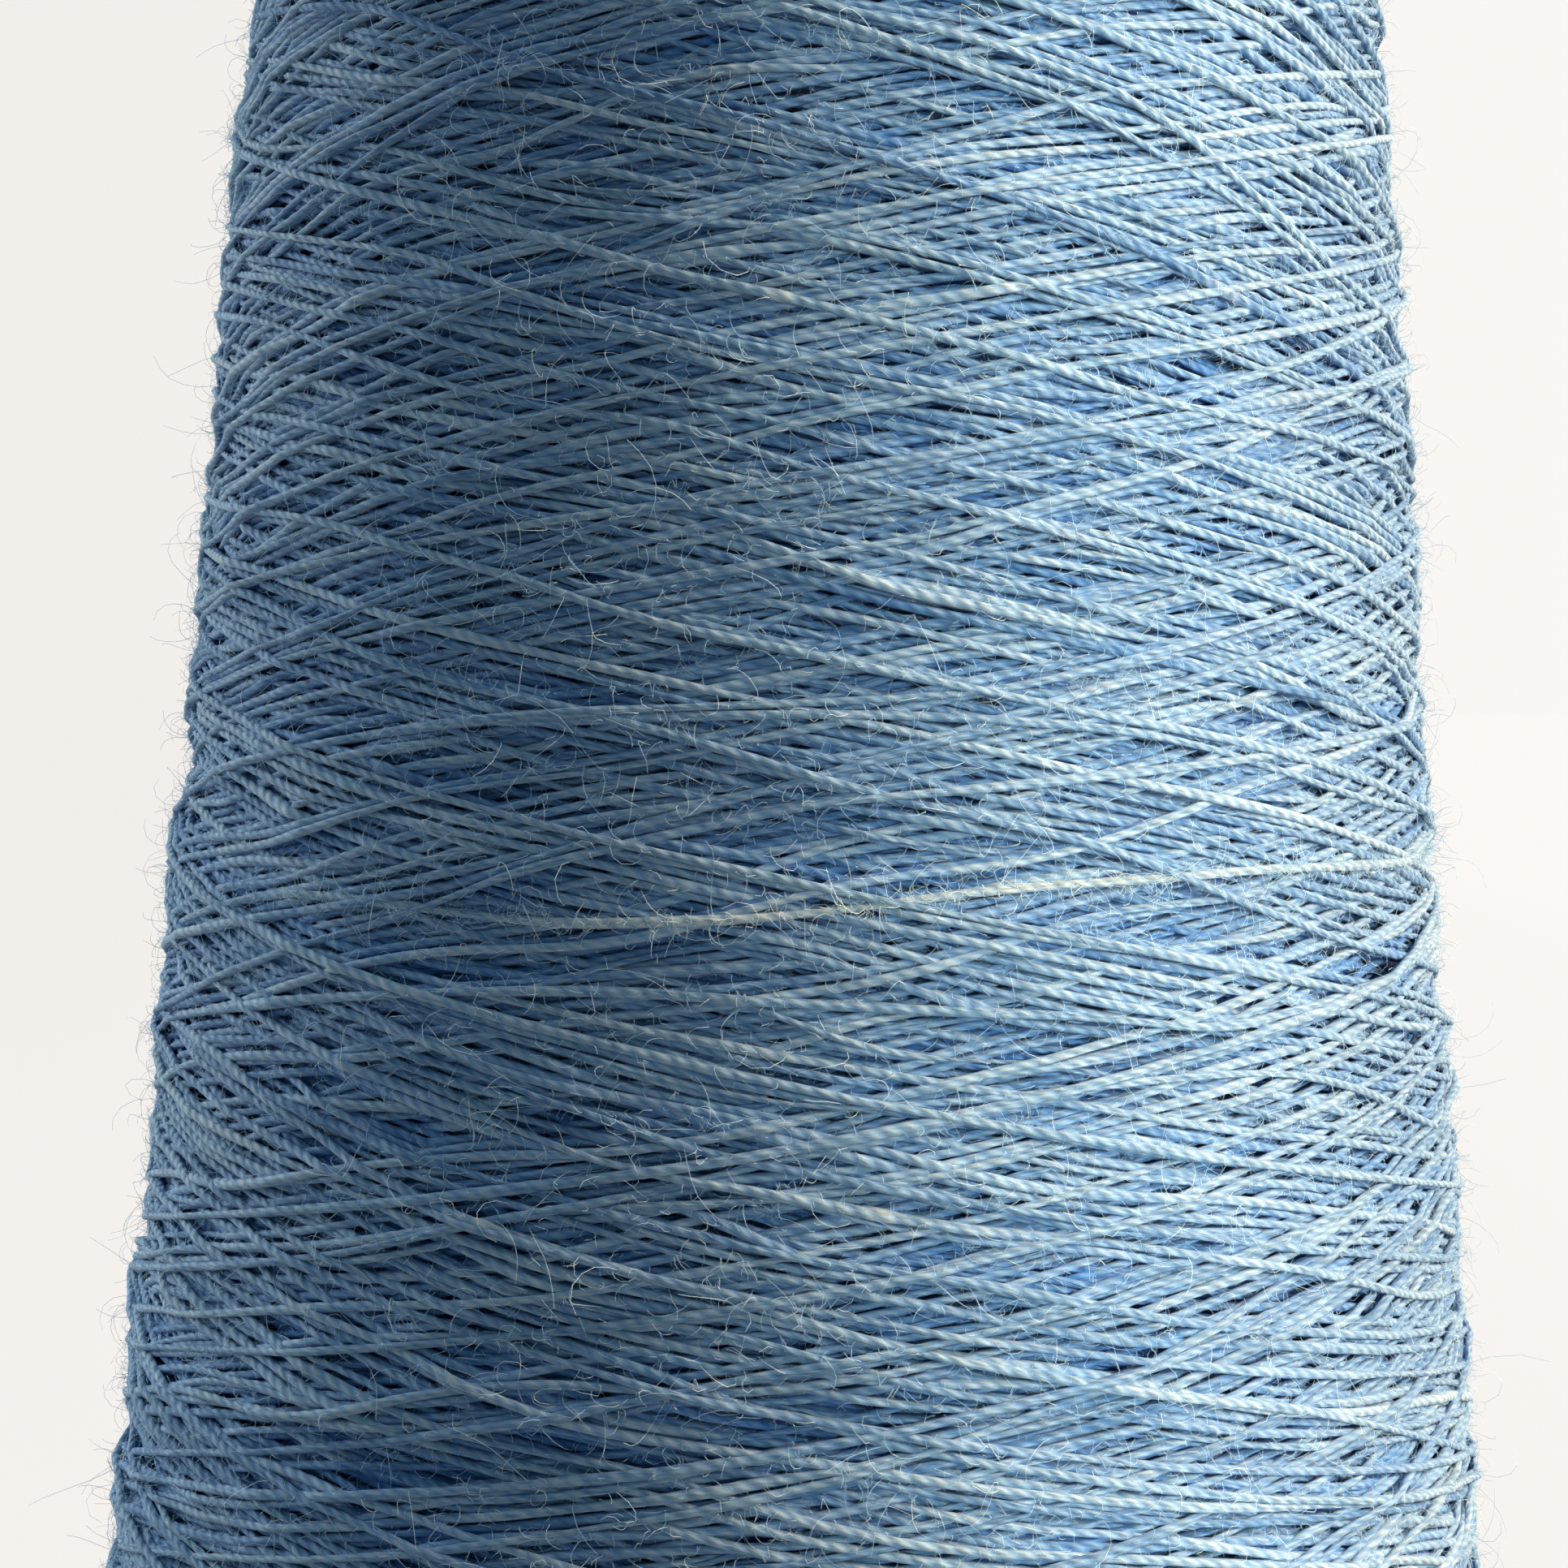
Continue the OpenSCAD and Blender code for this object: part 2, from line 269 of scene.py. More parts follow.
def slip(grid, cols, z, grip, width):
    """How far each sample of a stroke slips sideways into a valley, against a grip. width smooths it."""
    reach = REACH + 3
    row = rows_of(z, reach + 1)
    near = np.stack([grid[cols, row + j] for j in range(-reach, reach + 1)])
    offsets = np.arange(-REACH, REACH + 1) * ROW
    rest = np.stack([np.max(near[k : k + 7] + PROFILE[:, None], axis=0) for k in range(2 * REACH + 1)])
    rest = np.stack([smooth(line, 91) for line in rest])
    best = np.argmin(rest + grip * offsets[:, None] ** 2, axis=0)
    return smooth(offsets[best], width)


def settle(grid, cols, z, start):
    """(heights of the yarn's centre over the inner layers, pulled tight over what lies under it; lengths)."""
    row = rows_of(z, 8)
    near = np.stack([grid[cols, row + j] for j in range(-3, 4)])
    rest = np.max(near + PROFILE[:, None], axis=0)
    if start is not None:
        rest[0] = start
    radius = core_radius(z) + 1
    step = np.hypot(radius * TAU / COLS, np.gradient(z))
    s = np.concatenate([[0], np.cumsum(step[1:])])
    bow = DRAPE * s**2 / 2
    touch = upper_hull(s[::2], (rest - bow)[::2])
    h = np.interp(s, s[::2][touch], (rest - bow)[::2][touch]) + bow
    return np.maximum(h, rest - 0.1), s


def stamp(grid, cols, z, h):
    """Raises the pile where the stroke lies."""
    row = rows_of(z, 8)
    for j in range(-3, 4):
        x = (row + j + 0.5) * ROW + GRID_LOW - z
        on = np.abs(x) < YARN_R
        top = h[on] + SQUASH * np.sqrt(YARN_R**2 - x[on] ** 2)
        np.maximum.at(grid, (cols[on], row[on] + j), top)


def turning_height(low):
    """Where the next stroke ends: at or a little short of the package's end."""
    short = END_SPREAD * rng.random() ** 1.5
    return STROKE_LOW + 0.3 + short if low else STROKE_HIGH - 0.3 - short


def crest_height(z):
    """How far the pile's crests stand over the inner layers: PILE, rounded off at both shoulders."""
    inside = np.minimum(z - STROKE_LOW, STROKE_HIGH - z)
    near = np.clip(1 - inside / SHOULDER, 0, 1)
    return PILE - (PILE - 0.3) * (1 - np.sqrt(1 - near**2))


def crest_map(grid):
    """The highest of the pile round each cell of CREST_STEP columns and rows."""
    cols, rows = COLS // CREST_STEP, ROWS // CREST_STEP + 1
    padded = np.pad(grid, ((0, 0), (0, rows * CREST_STEP - ROWS)), mode="edge")
    crest = padded.reshape(cols, CREST_STEP, rows, CREST_STEP).max(axis=(1, 3))
    crest = np.maximum(np.maximum(np.roll(crest, 1, 0), np.roll(crest, -1, 0)), crest)
    side = np.pad(crest, ((0, 0), (1, 1)), mode="edge")
    return np.maximum(np.maximum(side[:, :-2], side[:, 2:]), crest)


def map_value(cells, col, z):
    """A map of crest cells read at columns and heights, blended between the cells."""
    x = col / CREST_STEP - 0.5
    y = np.clip((z - GRID_LOW) / ROW / CREST_STEP - 0.5, 0, cells.shape[1] - 1.001)
    x0, y0 = np.floor(x).astype(int), np.floor(y).astype(int)
    fx, fy = x - x0, y - y0
    a, b = x0 % cells.shape[0], (x0 + 1) % cells.shape[0]
    low = cells[a, y0] * (1 - fx) + cells[b, y0] * fx
    high = cells[a, y0 + 1] * (1 - fx) + cells[b, y0 + 1] * fx
    return low * (1 - fy) + high * fy


def even_out(grid, strokes):
    """Brings the crests to PILE, and presses the pile down where it is higher, at bumps and at the ends."""
    floor = PILE - np.percentile(grid[:, 250:-250], 95)
    grid += floor
    crest = crest_map(grid)
    for _ in range(2):
        crest = sum(np.roll(crest, k, axis=0) for k in range(-2, 3)) / 5
        padded = np.pad(crest, ((0, 0), (2, 2)), mode="edge")
        crest = sum(padded[:, k : k + crest.shape[1]] for k in range(5)) / 5
    cell_z = GRID_LOW + (np.arange(crest.shape[1]) + 0.5) * CREST_STEP * ROW
    factor = np.minimum((crest_height(cell_z) + 0.12) / np.maximum(crest, 0.1), 1.0)
    z = GRID_LOW + (np.arange(ROWS) + 0.5) * ROW
    col = np.arange(COLS)
    pressed = map_value(factor, np.repeat(col[:, None], ROWS, axis=1), np.repeat(z[None, :], COLS, axis=0))
    grid *= np.where(grid > 0, pressed, 1.0)
    for stroke in strokes:
        h = stroke["h"] + floor
        stroke["h"] = np.where(h > 0, h * map_value(factor, stroke["col"], stroke["z"]), h)


def top_paths():
    """The top strands as (columns, heights, direction, strand), the columns counted from the front."""
    paths = []
    for strand in TOP_STRANDS:
        points = np.array([on_crest(pixel) for pixel in strand["pixels"]])
        cols = (points[:, 0] - FRONT) * COLS / TAU
        lean = np.polyfit(cols, points[:, 1], 1)[0]
        paths.append({"cols": cols, "z": points[:, 1], "up": lean > 0, "strand": strand})
    return paths


def passes(col, count):
    """The samples at which a stroke that starts at col passes the front."""
    first = (FRONT / TAU * COLS - col) % COLS
    return [t for t in np.arange(first, count, COLS) if 0.18 * COLS < t < count - 0.18 * COLS]


def fit_top(paths, col, start, end):
    """(turns, paths taken in) of the stroke, of a few tried, that comes nearest to the most paths left."""
    best = (0, TURNS, [])
    for turns in TURNS * (1 + np.linspace(-0.04, 0.04, 17)):
        count = int(turns * COLS)
        z = stroke_height(count, start, end)
        score, taken = 0, []
        for t in passes(col, count):
            near = []
            for path in paths:
                if path["up"] == (end > start) and not any(path is other for _, other in taken):
                    middle = path["cols"].mean()
                    here = np.interp(t + middle, np.arange(count + 1), z)
                    near.append((abs(here - np.interp(middle, path["cols"], path["z"])), len(near), path))
            if near and min(near)[0] < NEAR_ENOUGH:
                score += NEAR_ENOUGH + 3 - min(near)[0]
                taken.append((t, min(near)[2]))
        if score > best[0]:
            best = (score, turns, taken)
    return best[1], best[2]


def draw_to(z, taken):
    """z moved on to the paths that the stroke takes in, with a slow return to its own way at both sides."""
    count = len(z) - 1
    at, move = [0.0], [0.0]
    for t, path in taken:
        on = np.round(t + path["cols"]).astype(int)
        keep = (on > 1) & (on < count - 1)
        away = path["z"][keep] - z[on[keep]]
        for edge in (on[keep][0] - 0.3 * COLS, None, on[keep][-1] + 0.3 * COLS):
            if edge is None:
                at += list(on[keep])
                move += list(away)
            elif at[-1] < edge < count - 0.2 * COLS and len(taken) == 1:
                at.append(edge)
                move.append(0.0)
    at.append(count)
    move.append(0.0)
    return z + smooth(np.interp(np.arange(count + 1), at, move), int(COLS * 0.05))


def lay_one(grid, strokes, col, z, slipping):
    """Settles a stroke of heights z on the pile and adds it to the strokes. Returns the column of its end."""
    i = np.arange(len(z))
    cols = (col + i) % COLS
    if slipping:
        z = z + np.clip(i / (COLS * 0.05), 0, 1) * slip(grid, cols, z, *slipping)
    h, s = settle(grid, cols, z, strokes[-1]["h"][-1] if strokes else None)
    stamp(grid, cols, z, h)
    strokes.append({"col": col + i, "z": z, "h": h, "s": s, "marks": []})
    return (col + len(z) - 1) % COLS


def lowest_way(grid, col, start, end, sway_size, offsets, rounds):
    """(turns over TURNS, sway) for a stroke, of a few ways tried.

    The one taken is where it and the strokes to be laid beside it lie over the lowest of the pile.
    """
    best = (1e9, 0.0, None)
    beside = (1 if end < start else -1) * BESIDE / ROW
    for offset in offsets:
        count = int((TURNS + offset) * COLS)
        i = np.arange(count + 1)
        fade = np.clip(np.minimum(i, count - i) / FADE, 0, 1)
        for _ in range(3):
            sway = fade * smooth(wander(count + 1, COLS * 0.3, sway_size), int(COLS * 0.28))
            row = rows_of((stroke_height(count, start, end) + sway)[::6], 40)
            cols = (col + i[::6]) % COLS
            under = np.maximum(grid[cols, row - 2], grid[cols, row + 2])
            for n in range(1, rounds):
                under = under + grid[cols, row + int(n * beside)]
            under = under / rounds
            piled = np.mean(under**2 * np.sign(under) + under)
            if piled < best[0]:
                best = (piled, offset, sway)
    return best[1:]


def lay_bundle(grid, strokes, col, rounds, loose):
    """Lays rounds of ROUND strokes, each beside its own of the round before. Returns the last column."""
    up = len(strokes) % 2 == 0
    low, high = turning_height(True), turning_height(False)
    jump = lowest_jump(grid, col, low, high, up)
    pitch = (high - low) / TURNS
    ways = []
    for n in range(rounds * ROUND):
        end = (high if len(strokes) % 2 == 0 else low) + rng.normal(0, 0.25)
        start = strokes[-1]["z"][-1] if strokes else low
        if n < ROUND:
            gone = sum(way[0] for way in ways)
            offsets = np.linspace(-0.02, 0.02, 5) if n < ROUND - 1 else [-gone]
            ways.append(lowest_way(grid, col, start, end, 1.1 if loose else 0.9, offsets, rounds))
        offset, sway = ways[n % ROUND]
        turns = TURNS + offset + BESIDE / pitch / ROUND + rng.normal(0, 0.0005) + (jump if n == 0 else 0)
        strays = rng.random() <= (0.3 if loose else 0.12)
        own = wander(int(turns * COLS) + 1, COLS * 0.25, 1.2 if strays else 0.14)
        count = len(own) - 1
        i = np.arange(count + 1)
        fade = np.clip(np.minimum(i, count - i) / FADE, 0, 1)
        z = stroke_height(count, start, end) + fade * smooth(own, int(COLS * 0.22))
        z = z + np.interp(i * (len(sway) - 1) / count, np.arange(len(sway)), sway)
        col = lay_one(grid, strokes, col, z, (0.12, 151) if loose else (0.07, 121))
    return col


def lay_strokes():
    """The pile's grid, and the strokes as dicts of column, height z, height h over the layers, and length s."""
    grid = np.full((COLS, ROWS), BASE, np.float32)
    strokes = []
    col = 0
    while len(strokes) < STROKES - FREE:
        col = lay_bundle(grid, strokes, col, int(rng.integers(1, 4)), False)
    while len(strokes) < STROKES:
        col = lay_bundle(grid, strokes, col, int(rng.integers(1, 3)), True)
    start = strokes[-1]["z"][-1]
    paths = top_paths()
    for _ in range(MOST_TOP):
        if not paths:
            break
        end = turning_height(len(strokes) % 2 == 1)
        turns, taken = fit_top(paths, col, start, end)
        z = draw_to(stroke_height(int(turns * COLS), start, end), taken)
        col = lay_one(grid, strokes, col, z, None)
        start = strokes[-1]["z"][-1]
        for t, path in taken:
            strokes[-1]["marks"].append((t + path["cols"][0], t + path["cols"][-1], t, path["strand"]))
            paths = [other for other in paths if other is not path]
    even_out(grid, strokes)
    return grid, strokes


# ---- Meshes ----


def build_mesh(name, co, quads, corner_uvs=None, point_values=None):
    """A mesh object from arrays: co in millimetres (n, 3), quads (m, 4), UVs (m, 4, 2), point values (n)."""
    mesh = bpy.data.meshes.new(name)
    mesh.vertices.add(len(co))
    mesh.vertices.foreach_set("co", (np.asarray(co) * MM).astype(np.float32).ravel())
    mesh.loops.add(quads.size)
    mesh.loops.foreach_set("vertex_index", quads.astype(np.int32).ravel())
    mesh.polygons.add(len(quads))
    mesh.polygons.foreach_set("loop_start", np.arange(0, quads.size, 4, dtype=np.int32))
    mesh.update(calc_edges=True)
    mesh.polygons.foreach_set("use_smooth", np.full(len(quads), True))
    for layer, uv in (corner_uvs or {}).items():
        mesh.uv_layers.new(name=layer).data.foreach_set("uv", uv.astype(np.float32).ravel())
    for value, data in (point_values or {}).items():
        mesh.attributes.new(value, "FLOAT", "POINT").data.foreach_set("value", data.astype(np.float32))
    obj = bpy.data.objects.new(name, mesh)
    bpy.context.scene.collection.objects.link(obj)
    return obj


def strips(u, v, run):
    """UVs on strips that fill the square, with run millimetres of yarn to a strip. u and v are (m, 4)."""
    first = u.min(axis=1, keepdims=True)
    strip = np.floor(first / run)
    count = strip.max() + 1
    x = 0.01 + 0.95 * (u - strip * run) / run
    y = (strip + 0.1 + 0.8 * v) / count
    return np.stack([x, y], axis=-1)


class Yarn:
    """Tubes of yarn, gathered until they fill a piece."""

    def __init__(self):
        self.points, self.quads, self.u, self.v, self.lap, self.values = [], [], [], [], [], []
        self.count = 0
        self.length = 0.0

    def faces(self):
        return 2 * sum(len(q) for q in self.quads)

    def add(self, centre, along, radius, values, linked, sides):
        """Rings round each centre point, a little lobed by the plies. linked: which join the next."""
        n = len(centre)
        if not linked[:-1].any():
            return
        tangent = np.gradient(centre, axis=0)
        tangent /= np.linalg.norm(tangent, axis=1, keepdims=True)
        out = centre * (1, 1, 0)
        out -= tangent * np.sum(out * tangent, axis=1, keepdims=True)
        out /= np.linalg.norm(out, axis=1, keepdims=True)
        side = np.cross(tangent, out)
        k = np.arange(sides)
        angle = TAU * k[None, :] / sides
        ply = angle - TAU * along[:, None] / PLY_PITCH
        lobed = radius[:, None] * (0.99 + 0.045 * np.cos(2 * ply))
        ring = (
            centre[:, None, :]
            + (lobed * np.cos(angle))[..., None] * out[:, None, :]
            + (lobed * np.sin(angle))[..., None] * side[:, None, :]
        )
        start = np.nonzero(linked[:-1])[0]
        a = start[:, None] * sides + k[None, :]
        b = start[:, None] * sides + (k + 1)[None, :] % sides
        quads = np.stack([a, b, b + sides, a + sides], axis=-1).reshape(-1, 4) + self.count
        v0 = ply[start] / TAU
        v1 = v0 + 1 / sides
        turn = (along[start + 1] - along[start])[:, None] / PLY_PITCH
        u0 = np.repeat(along[start][:, None], sides, axis=1)
        u1 = np.repeat(along[start + 1][:, None], sides, axis=1)
        self.points.append(ring.reshape(-1, 3))
        self.quads.append(quads)
        self.u.append(np.stack([u0, u0, u1, u1], axis=-1).reshape(-1, 4))
        self.v.append(np.stack([v0, v1, v1 - turn, v0 - turn], axis=-1).reshape(-1, 4))
        around = np.repeat((k / sides)[None, :], len(start), axis=0)
        beyond = around + 1 / sides
        self.lap.append(np.stack([around, beyond, beyond, around], axis=-1).reshape(-1, 4))
        self.values.append({key: np.repeat(val, sides) for key, val in values.items()})
        self.count += n * sides
        self.length += along[-1] - along[0]

    def finish(self, name):
        u, v = np.concatenate(self.u), np.concatenate(self.v)
        values = {key: np.concatenate([val[key] for val in self.values]) for key in self.values[0]}
        return build_mesh(
            name,
            np.concatenate(self.points),
            np.concatenate(self.quads),
            {"strand": np.stack([u, v], axis=-1), "OFBake": bake_strips(self.u, self.lap)},
            values,
        )


def bake_strips(runs, laps):
    """UVs of every tube on strips that don't overlap: the tubes' lengths follow one another."""
    placed, offset = [], 0.0
    for u in runs:
        placed.append(u - u.min() + offset)
        offset = placed[-1].max() + 0.5
    run = max(math.sqrt(offset * 2.4), 20.0)
    return strips(np.concatenate(placed), np.concatenate(laps), run)


# ---- Yarn along a stroke ----


def tuck_ends(stroke):
    """Takes a stroke's ends down among the other strokes, where the yarn turns back."""
    i = np.arange(len(stroke["h"]))
    to_end = np.minimum(i, i[::-1])
    stroke["h"] = stroke["h"] - TUCK * np.clip(1 - to_end / TUCK_RUN, 0, 1) ** 2


def along_samples(stroke, t):
    """A stroke's centre points and lengths at the sample positions t, which may lie between samples."""
    i = np.arange(len(stroke["z"]))
    z = np.interp(t, i, stroke["z"])
    r = core_radius(z) + np.interp(t, i, stroke["h"])
    angle = (stroke["col"][0] + t) * TAU / COLS
    centre = np.stack([r * np.cos(angle), r * np.sin(angle), z], axis=1)
    return centre, np.interp(t, i, stroke["s"])


def yarn_character(stroke):
    """Thickness, tone, pale, hue and fuzz of the yarn at each sample of a stroke."""
    n = len(stroke["z"])
    s = stroke["s"]
    thick = 1 + smooth(wander(n, 30, 0.13), 25) + smooth(wander(n, 200, 0.09), 151)
    tone = 0.5 + rng.normal(0, 0.14) + smooth(wander(n, 500, 0.12), 401) + smooth(wander(n, 60, 0.06), 41)
    hue = 0.5 + rng.normal(0, 0.18) + smooth(wander(n, 900, 0.12), 501)
    pale, fuzz = np.zeros(n), np.ones(n)
    for _ in range(rng.poisson(s[-1] / 420)):
        at, width, size = rng.uniform(0, s[-1]), rng.uniform(1.2, 4.0), rng.uniform(0.15, 0.5)
        bump = np.exp(-(((s - at) / width) ** 2))
        thick = thick + size * bump
        fuzz = fuzz + 3 * bump
        if rng.random() < 0.3:
            pale = np.maximum(pale, rng.uniform(0.15, 0.6) * bump)
    for _ in range(rng.poisson(s[-1] / 900)):
        at, width = rng.uniform(0, s[-1]), rng.uniform(3, 14)
        pale = np.maximum(pale, rng.uniform(0.06, 0.22) * np.exp(-(((s - at) / width) ** 4)))
    i = np.arange(n)
    for first, last, front, strand in stroke["marks"]:
        on = np.clip(np.minimum(i - first, last - i) / 60 + 1, 0, 1)
        tone += on * (strand["tone"] - tone) * 0.8
        hue += on * (strand["hue"] - hue) * 0.8
        fuzz += on * (strand["fuzz"] - 1)
        cols = [(on_crest(pixel)[0] - FRONT) * COLS / TAU + front for pixel in strand["pixels"]]
        column = np.interp(i, cols, strand["pixels"][:, 0], left=-1e6, right=1e6)
        for middle, reach, amount in strand["pale"]:
            bump = amount * np.exp(-(((column - middle) / reach) ** 4))
            pale = np.maximum(pale, bump)
            if reach < 50:
                thick = thick + 0.35 * bump
    return {"thick": thick, "tone": tone, "pale": pale, "hue": hue, "fuzz": fuzz}


def spread(mask, samples):
    """mask, with each true run made longer by that many samples at both ends."""
    kernel = np.ones(2 * samples + 1)
    return np.convolve(mask, kernel, mode="same") > 0.5


def exposure(grid, crest, stroke):
    """(seen, deep): where the stroke shows from outside, and how deep it lies under the crests round it, which
    the yarn material uses to paint shade.
    """
    cols = stroke["col"] % COLS
    row = np.clip(((stroke["z"] - GRID_LOW) / ROW).astype(int), 8, ROWS - 9)
    cover = np.stack([grid[cols, row + j] - (stroke["h"] + PROFILE[j + 3]) for j in range(-3, 4)])
    deep = np.clip((crest[cols // CREST_STEP, row // CREST_STEP] - stroke["h"] - 0.3) / 1.4, 0, 1)
    return spread(cover.min(axis=0) < 0.05, 6), smooth(deep, 9)


def in_view(stroke):
    """Where a stroke is on the photographed side, within the frame's height."""
    low, high = (CAMERA_Z + (HORIZON_ROW - row) * CAMERA_AWAY / FOCAL_PX for row in (FRAME_PX, 0))
    facing = np.cos(stroke["col"] * TAU / COLS - FRONT) > 0.2
    return facing & (stroke["z"] > low) & (stroke["z"] < high)


FINE, PLAIN, HIDDEN = (2.0, 7), (6, 5), (16, 3)  # samples between rings, sides
TUCK = 1.8  # how far a stroke's ends go down
TUCK_RUN = 36  # over how many samples


def add_stroke(yarn, grid, crest, stroke):
    """Adds a stroke: finely where the photographed view shows it, plainly elsewhere, roughly if buried."""
    tuck_ends(stroke)
    seen, deep = exposure(grid, crest, stroke)
    above = stroke["h"] > -0.45
    fine = seen & above & in_view(stroke)
    plain = seen & above & ~fine
    look = yarn_character(stroke)
    # deep later darkens and blues the yarn's colour as painted shade in the hollows of the pile.
    look["deep"] = deep
    samples = np.arange(len(seen))
    for mask, (step, sides) in ((fine, FINE), (plain, PLAIN), (above & ~seen, HIDDEN)):
        t = np.arange(0, len(seen) - 1, step)
        on = spread(mask, int(min(step, 8)) + 1)[np.round(t).astype(int)]
        if on.sum() < 2:
            continue
        index = np.nonzero(on)[0]
        linked = np.append(np.diff(index) == 1, False)
        t = t[index]
        centre, along = along_samples(stroke, t)
        values = {key: np.interp(t, samples, look[key]) for key in ("tone", "pale", "hue", "deep")}
        yarn.add(centre, along, DRAWN_R * np.interp(t, samples, look["thick"]), values, linked, sides)
    stroke["seen"] = seen & above
    stroke["look"] = look


MOST_FACES = 185000  # triangles to a piece
STROKE_FACES = 22000  # more than any one stroke has


def stroke_pieces(grid, strokes):
    """The strokes as pieces of at most MOST_FACES triangles, first laid first."""
    pieces, yarn = [], Yarn()
    crest = crest_map(grid)
    for stroke in strokes:
        add_stroke(yarn, grid, crest, stroke)
        if yarn.faces() > MOST_FACES - STROKE_FACES:
            pieces.append(yarn.finish(f"cross_wound_strokes_{len(pieces) + 1:02d}"))
            yarn = Yarn()
    if yarn.count:
        pieces.append(yarn.finish(f"cross_wound_strokes_{len(pieces) + 1:02d}"))
    return pieces


# ---- Loose fibres ----


def anchors(strokes):
    """Where loose fibres may start: points on the strands that show, their directions, weights and pales."""
    points, tangents, weights, pales = [], [], [], []
    for stroke in strokes:
        index = np.nonzero(stroke["seen"])[0][::2]
        if len(index) < 2:
            continue
        centre, _ = along_samples(stroke, index)
        ahead, _ = along_samples(stroke, index + 1.0)
        points.append(centre)
        tangents.append(ahead - centre)
        weights.append(stroke["look"]["fuzz"][index] * np.where(in_view(stroke)[index], 1.0, 0.16))
        pales.append(stroke["look"]["pale"][index])
    return tuple(np.concatenate(part) for part in (points, tangents, weights, pales))


def unit(v):
    return v / np.linalg.norm(v, axis=-1, keepdims=True)


def loose_fibres(name, strokes, count, joints, longest, typical):
    """Single fibres that stand off the yarn: tapered threads of so many joints, most close to it."""
    points, tangents, weights, pales = anchors(strokes)
    pick = rng.choice(len(points), count, p=weights / weights.sum())
    base, along, pale = points[pick], unit(tangents[pick]), pales[pick]
    out = unit(base * (1, 1, 0))
    out = unit(out - along * np.sum(out * along, axis=1, keepdims=True))
    side = np.cross(along, out)
    lean = rng.normal(0, 1.0, (count, 1))
    start_dir = np.cos(lean) * out + np.sin(lean) * side
    heading = rng.choice([-1.0, 1.0], (count, 1)) * along
    outward = start_dir * rng.uniform(0.2, 1.0, (count, 1))
    onward = heading * rng.uniform(0.1, 1.1, (count, 1))
    direction = unit(outward + onward + rng.normal(0, 0.25, (count, 3)))
    length = np.clip(typical * np.exp(rng.normal(0, 0.42, (count, 1))), 0.5, longest)
    curl = rng.normal(0, 2.2 / joints, (count, 3))
    nodes = [base + start_dir * YARN_R * 0.8]
    for _ in range(joints):
        nodes.append(nodes[-1] + direction * length / joints)
        stray = rng.normal(0, 0.07, (count, 3))
        direction = unit(direction + np.cross(direction, curl) - 0.55 / joints * out + stray)
    nodes = np.stack(nodes, axis=1)
    pieces = []
    per_piece = MOST_FACES // (6 * joints)
    for first in range(0, count, per_piece):
        group = slice(first, min(first + per_piece, count))
        tone = np.clip(rng.normal(0.5, 0.3, len(pale[group])) + 0.6 * pale[group], 0, 1)
        pieces.append(prisms(f"{name}_{len(pieces) + 1:02d}", nodes[group], tone))
    return pieces


def prisms(name, nodes, tone):
    """A piece of three-sided tapered threads through nodes (n, joints + 1, 3)."""
    count, joints = nodes.shape[0], nodes.shape[1] - 1
    tangent = unit(np.gradient(nodes, axis=1))
    across = unit(np.cross(tangent, (0.31, 0.52, 0.79)))
    other = np.cross(tangent, across)
    thin = np.linspace(0.019, 0.010, joints + 1)[None, :, None, None]
    angle = TAU * np.arange(3) / 3
    spoke = np.cos(angle)[:, None] * across[:, :, None, :] + np.sin(angle)[:, None] * other[:, :, None, :]
    ring = nodes[:, :, None, :] + thin * spoke
    hair = np.arange(count)[:, None, None] * 3 * (joints + 1)
    node = np.arange(joints)[None, :, None] * 3
    k = np.arange(3)[None, None, :]
    a = hair + node + k
    b = hair + node + (k + 1) % 3
    quads = np.stack([a, b, b + 3, a + 3], axis=-1).reshape(-1, 4)
    # Each fibre has its own cell of a square map.
    cells = int(math.ceil(math.sqrt(count)))
    cell_x = (np.arange(count) % cells)[:, None, None]
    cell_y = (np.arange(count) // cells)[:, None, None]
    x0 = (cell_x + 0.1 + 0.8 * np.arange(joints)[None, :, None] / joints) / cells + 0 * k
    x1 = x0 + 0.8 / joints / cells
    y0 = (cell_y + 0.1 + 0.8 * k / 3) / cells + 0 * x0
    y1 = y0 + 0.8 / 3 / cells
    uv = np.stack([np.stack([x0, x0, x1, x1], -1), np.stack([y0, y1, y1, y0], -1)], -1).reshape(-1, 4, 2)
    tones = np.repeat(tone, 3 * (joints + 1))
    return build_mesh(name, ring.reshape(-1, 3), quads, {"OFBake": uv}, {"tone": tones})


# ---- Ends and tail ----


def plain_values(n, tone, hue):
    return {"tone": np.full(n, tone), "pale": np.zeros(n), "hue": np.full(n, hue), "deep": np.zeros(n)}


def end_outline(low):
    """An end of the package in section, across its face and round the shoulder to a little way up the side.

    Returns the radii, the depths in from the face, the sign of z inwards, and the height of the face.
    """
    into = 1 if low else -1
    face, stroke_end = (WOUND_LOW, STROKE_LOW) if low else (WOUND_HIGH, STROKE_HIGH)
    inner = SHEET_R - face * SLOPE + 0.45
    depth = np.linspace(1.6, abs(stroke_end - face) + 7.0, 24)
    z = face + into * depth
    side = core_radius(z) + np.maximum(crest_height(z), 0.0) - 0.55
    side = np.minimum(side, core_radius(z) + PILE * 0.72)
    across = np.linspace(inner, side[0] - 0.4, 40)
    lean = 1.4 * ((across - inner) / (side[0] - inner)) ** 2
    return np.concatenate([across, side]), np.concatenate([lean, depth]), into, face


